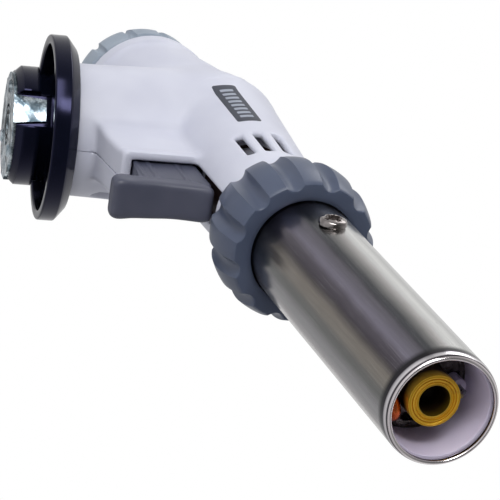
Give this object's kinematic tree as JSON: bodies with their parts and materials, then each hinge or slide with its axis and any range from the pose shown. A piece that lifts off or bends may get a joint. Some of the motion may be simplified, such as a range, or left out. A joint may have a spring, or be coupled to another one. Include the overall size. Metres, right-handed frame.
{
  "type": "lampwork torch",
  "caption": "Handheld gas torch head with a long steel barrel, ribbed air ring, ignition trigger, rear gas knob and a collar that locks onto a bayonet cartridge.",
  "frame": {"origin": "centre of the collar's rim face, where the cartridge's flange enters", "axes": "+Z along the cartridge's axis, away from the cartridge; +X the way the flame leaves; +Y the torch's left side"},
  "size_m": [0.2051, 0.046, 0.0881],
  "materials": {
    "housing_plastic": "satin moulded, light lilac grey",
    "slate_plastic": "satin moulded, slate blue grey",
    "knob_plastic": "satin moulded, light slate",
    "trigger_plastic": "satin moulded, dark slate",
    "label_plastic": "matte printed plate, dark grey",
    "black_plastic": "gloss moulded, near black",
    "dark_plastic": "matte, dark",
    "ivory_plastic": "matte, ivory",
    "zinc_steel": "bright zinc plating, mottled",
    "barrel_steel": "brushed along its length, polished rolled lip",
    "screw_steel": "bright plated",
    "spring_steel": "drawn wire",
    "brass": "machined",
    "copper": "drawn copper tube",
    "ceramic_white": "white fired lining",
    "filter_bronze": "sintered, matte",
    "rubber_black": "nitrile",
    "wire_red": "silicone sleeve"
  },
  "bodies": {
    "head": {"housing_left": "housing_plastic", "housing_right": "housing_plastic", "label_plate": "label_plastic", "housing_screws": "screw_steel", "collar_disc": "black_plastic", "bayonet_boss": "black_plastic", "bayonet_clip": "zinc_steel", "clip_rivets": "zinc_steel", "inlet_body": "brass", "inlet_seal": "rubber_black", "inlet_filter": "filter_bronze", "clamp_washer": "zinc_steel", "inlet_nut": "brass", "valve_body": "brass", "gland_nut": "brass", "preheat_tube": "copper", "jet_holder": "brass", "gas_jet": "brass", "mixing_tube": "brass", "nozzle": "brass", "flame_screen": "spring_steel", "barrel_adapter": "zinc_steel", "baffle_plate": "zinc_steel", "liner": "ceramic_white", "barrel": "barrel_steel", "barrel_screw": "screw_steel", "piezo_spring": "spring_steel", "piezo_body": "dark_plastic", "ignition_wire": "wire_red", "electrode_insulator": "ceramic_white", "electrode": "spring_steel"},
    "trigger": {"trigger": "trigger_plastic", "piezo_plunger": "ivory_plastic"},
    "air_ring": {"air_ring": "slate_plastic", "air_sleeve": "dark_plastic"},
    "knob": {"knob": "knob_plastic", "knob_cap": "slate_plastic"},
    "needle": {"needle_spindle": "brass", "spindle_oring": "rubber_black"}
  },
  "joints": [
    {"name": "trigger_pull", "type": "slide", "parent": "head", "child": "trigger", "axis": [-1, 0, 0], "range_m": [0, 0.006], "stiffness_N_per_m": 800, "springref_m": -0.002, "deforming": ["piezo_spring"]},
    {"name": "air_ring_turn", "type": "hinge", "parent": "head", "child": "air_ring", "pos_m": [0.06592, 0, 0.05138], "axis": [0.9871, 0, 0.1599], "range_deg": [0, 60]},
    {"name": "knob_turn", "type": "hinge", "parent": "head", "child": "knob", "pos_m": [-0.03493, 0, 0.02749], "axis": [-0.9703, 0, -0.2419], "range_deg": [0, 300]},
    {"name": "needle_feed", "type": "slide", "parent": "knob", "child": "needle", "axis": [-0.9703, 0, -0.2419], "range_m": [0, 0.00065]}
  ],
  "couplings": [
    {"joint": "needle_feed", "follows": "knob_turn", "m_per_rad": 0.00011937}
  ]
}
